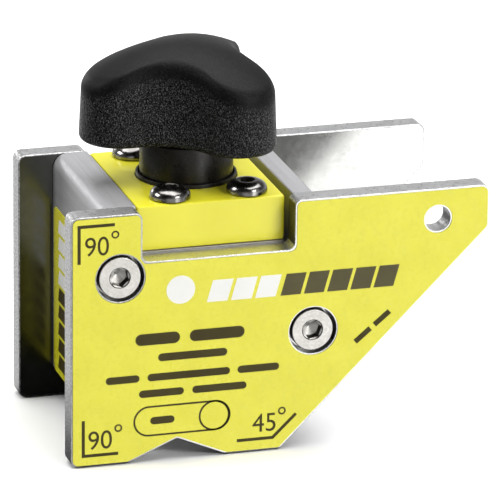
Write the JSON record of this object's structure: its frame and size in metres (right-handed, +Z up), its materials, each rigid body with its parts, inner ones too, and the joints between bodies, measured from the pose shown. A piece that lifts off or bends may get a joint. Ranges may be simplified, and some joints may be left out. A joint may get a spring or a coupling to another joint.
{
  "type": "switchable welding angle magnet",
  "caption": "Switchable permanent-magnet welding angle: two cut steel pole plates either side of a magnet unit, turned on and off by a lobed knob.",
  "frame": {"origin": "midway between the two pole plates, at half their length, on the plane of their feet", "axes": "+X along the plates from the square edge to the 45 degree nose, +Y from the front plate to the rear plate, +Z up through the knob"},
  "size_m": [0.1, 0.054, 0.0921],
  "materials": {
    "plate_steel": "sawn and tumbled steel with a fine grain, plated",
    "yellow_label": "printed vinyl label, satin",
    "satin_aluminium": "satin anodised, with drawn lines",
    "housing_steel": "machined",
    "yellow_paint": "powder coat, satin",
    "black_knob": "moulded with a leather grain, smoother on top",
    "black_oxide": "turned and blackened",
    "black_collar": "moulded, satin",
    "bright_screw": "bright plated",
    "nickel_screw": "satin nickel plated",
    "magnet_nickel": "nickel plated",
    "seal_rubber": "matt",
    "white_plastic": "plain",
    "brass": "machined"
  },
  "bodies": {
    "frame_assembly": {"front_pole_plate": "plate_steel", "rear_pole_plate": "plate_steel", "front_label": "yellow_label", "rear_label": "yellow_label", "side_label": "yellow_label", "spacer_body": "satin_aluminium", "magnet_housing": "housing_steel", "bottom_disc": "housing_steel", "lower_magnet": "magnet_nickel", "friction_disc": "white_plastic", "cap_gasket": "seal_rubber", "top_cap": "yellow_paint", "collar_bush": "black_collar", "stop_pin": "nickel_screw", "cap_screw_1": "bright_screw", "cap_screw_2": "bright_screw", "cap_screw_3": "bright_screw", "cap_screw_4": "bright_screw", "front_left_screw": "nickel_screw", "front_right_screw": "nickel_screw", "rear_left_screw": "nickel_screw", "rear_right_screw": "nickel_screw"},
    "rotor": {"upper_magnet": "magnet_nickel", "actuator": "black_oxide", "actuator_o_ring": "seal_rubber", "knob": "black_knob", "knob_insert": "brass", "knob_screw": "nickel_screw"}
  },
  "joints": [
    {"name": "knob_turn", "type": "hinge", "parent": "frame_assembly", "child": "rotor", "pos_m": [-0.0153, 0, 0.0599], "axis": [0, 0, -1], "range_deg": [0, 180]}
  ]
}
